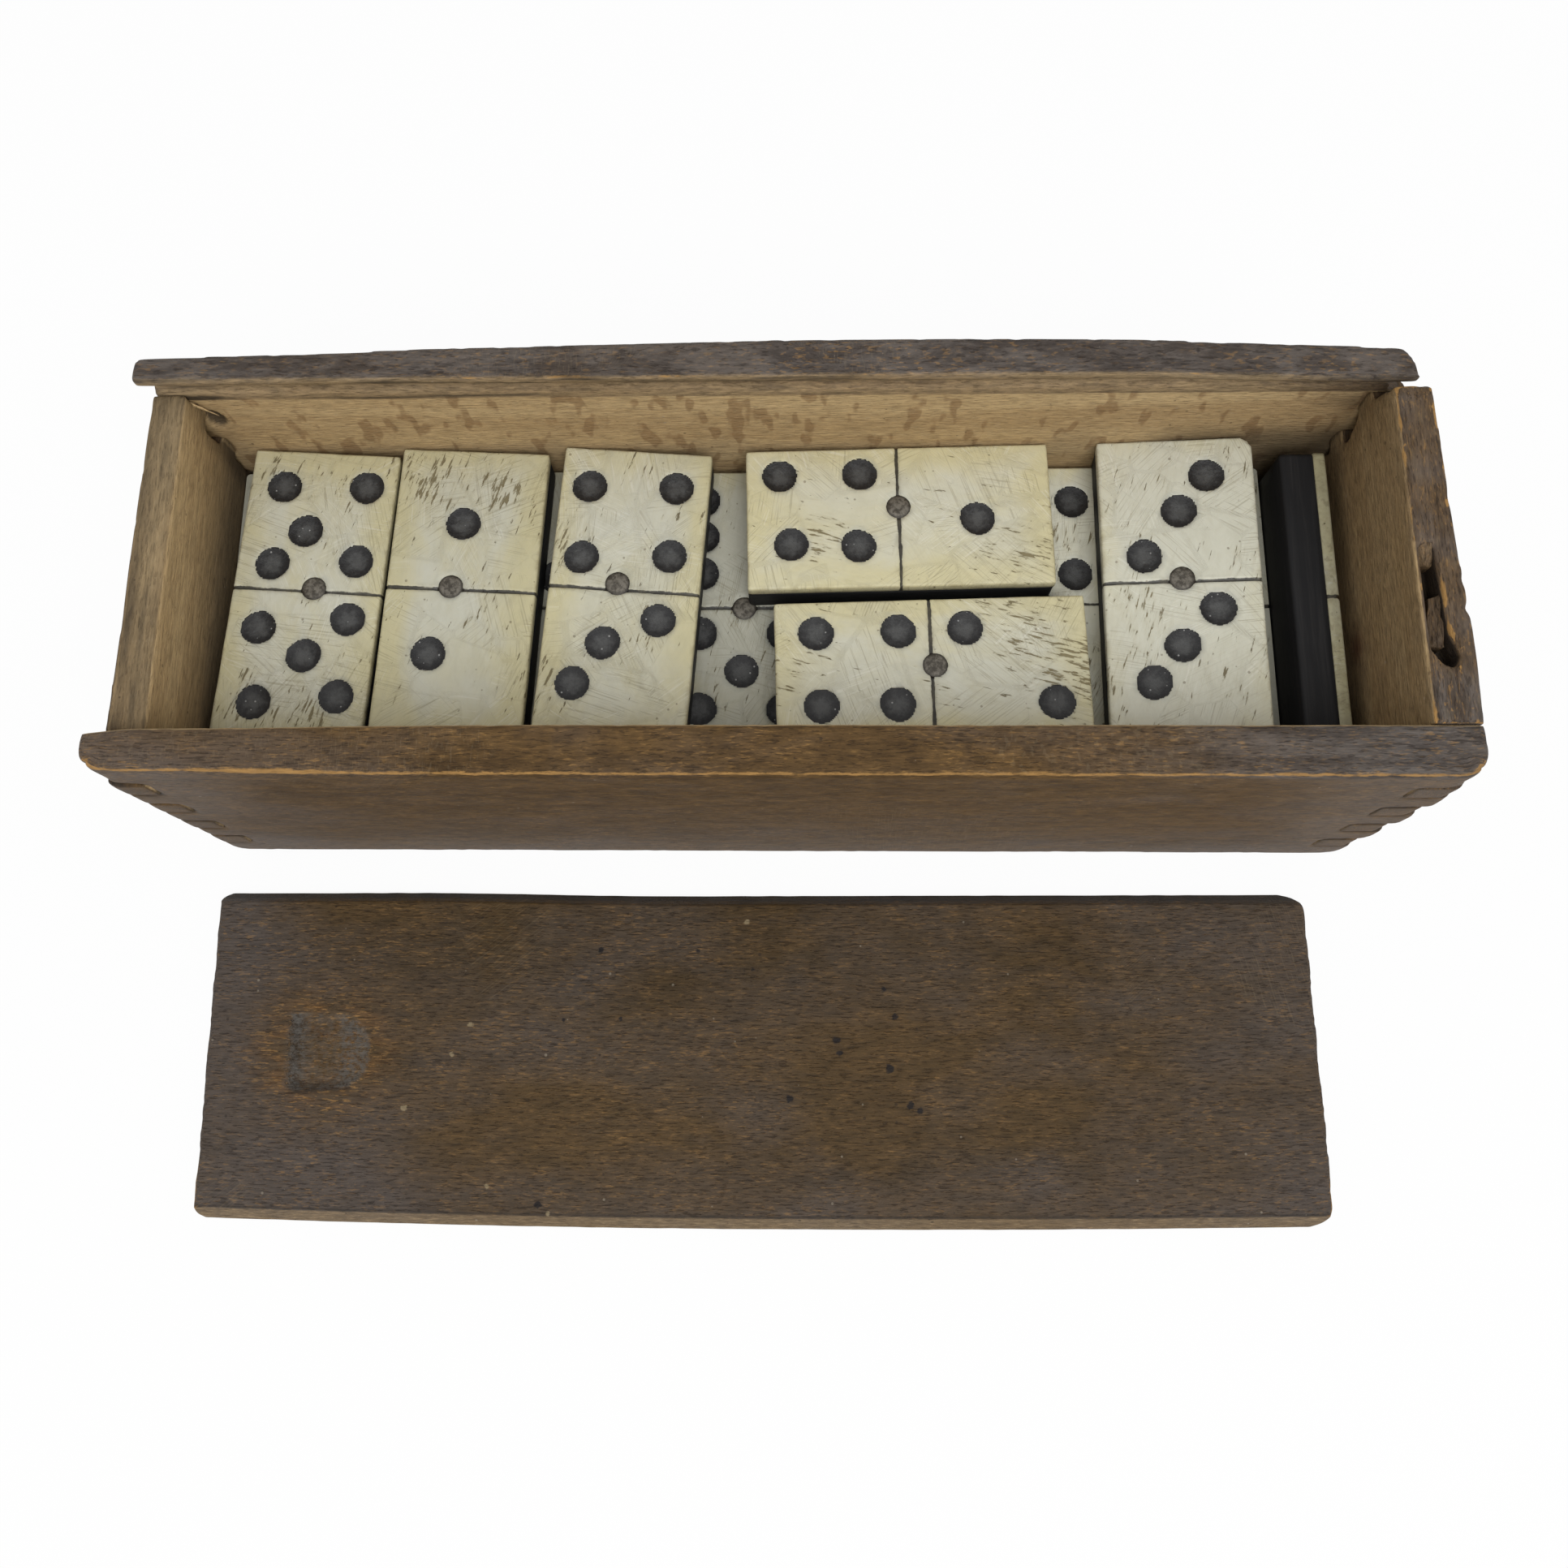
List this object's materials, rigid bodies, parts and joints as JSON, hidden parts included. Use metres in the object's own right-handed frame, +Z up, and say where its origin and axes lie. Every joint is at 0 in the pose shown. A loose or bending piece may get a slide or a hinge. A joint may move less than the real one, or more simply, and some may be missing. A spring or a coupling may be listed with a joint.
{
  "type": "domino box",
  "caption": "Slim comb-jointed wooden box with its grooved lid lifted off beside it, filled with loose bone-faced, dark-backed dominoes that have drilled pips and brass pins.",
  "frame": {"origin": "centre of the case's footprint, at table level", "axes": "+X along the case towards its high end, +Y from the lid's side to the back of the case, +Z up"},
  "size_m": [0.176, 0.1182, 0.0503],
  "materials": {
    "case_wood": "worn, matt",
    "lid_wood": "worn, satin",
    "bone": "polished by handling",
    "ebony": "satin",
    "pip_black": "dull",
    "brass_pin": "tarnished"
  },
  "bodies": {
    "case": {"front_wall": "case_wood", "back_wall": "case_wood", "left_end": "case_wood", "right_end": "case_wood", "bottom_panel": "case_wood", "t65_face": "bone", "t65_back": "ebony", "t65_pin": "brass_pin", "t65_pips": "pip_black", "t40_face": "bone", "t40_back": "ebony", "t40_pin": "brass_pin", "t40_pips": "pip_black", "row3_faces": "bone", "row3_backs": "ebony", "row3_pins": "brass_pin", "row3_pips": "pip_black", "row2_faces": "bone", "row2_backs": "ebony", "row2_pins": "brass_pin", "row2_pips": "pip_black", "row1_faces": "bone", "row1_backs": "ebony", "row1_pins": "brass_pin", "row1_pips": "pip_black"},
    "lid": {"lid": "lid_wood"},
    "tile_t55": {"t55_face": "bone", "t55_back": "ebony", "t55_pin": "brass_pin", "t55_pips": "pip_black"},
    "tile_t11": {"t11_face": "bone", "t11_back": "ebony", "t11_pin": "brass_pin", "t11_pips": "pip_black"},
    "tile_t43": {"t43_face": "bone", "t43_back": "ebony", "t43_pin": "brass_pin", "t43_pips": "pip_black"},
    "tile_t41": {"t41_face": "bone", "t41_back": "ebony", "t41_pin": "brass_pin", "t41_pips": "pip_black"},
    "tile_t42": {"t42_face": "bone", "t42_back": "ebony", "t42_pin": "brass_pin", "t42_pips": "pip_black"},
    "tile_t33": {"t33_face": "bone", "t33_back": "ebony", "t33_pin": "brass_pin", "t33_pips": "pip_black"},
    "tile_t66": {"t66_face": "bone", "t66_back": "ebony", "t66_pin": "brass_pin", "t66_pips": "pip_black"}
  },
  "joints": [
    {"name": "lid_slide", "type": "slide", "parent": "case", "child": "lid", "axis": [1, 0.007, 0], "range_m": [-0.17, 0]},
    {"name": "t55_lift", "type": "slide", "parent": "case", "child": "tile_t55", "axis": [0, 0, 1], "range_m": [0, 0.06]},
    {"name": "t11_lift", "type": "slide", "parent": "case", "child": "tile_t11", "axis": [0, 0, 1], "range_m": [0, 0.06]},
    {"name": "t43_lift", "type": "slide", "parent": "case", "child": "tile_t43", "axis": [0, 0, 1], "range_m": [0, 0.06]},
    {"name": "t41_lift", "type": "slide", "parent": "case", "child": "tile_t41", "axis": [0, 0, 1], "range_m": [0, 0.06]},
    {"name": "t42_lift", "type": "slide", "parent": "case", "child": "tile_t42", "axis": [0, 0, 1], "range_m": [0, 0.06]},
    {"name": "t33_lift", "type": "slide", "parent": "case", "child": "tile_t33", "axis": [0, 0, 1], "range_m": [0, 0.06]},
    {"name": "t66_lift", "type": "slide", "parent": "case", "child": "tile_t66", "axis": [0, 0, 1], "range_m": [0, 0.06]}
  ]
}
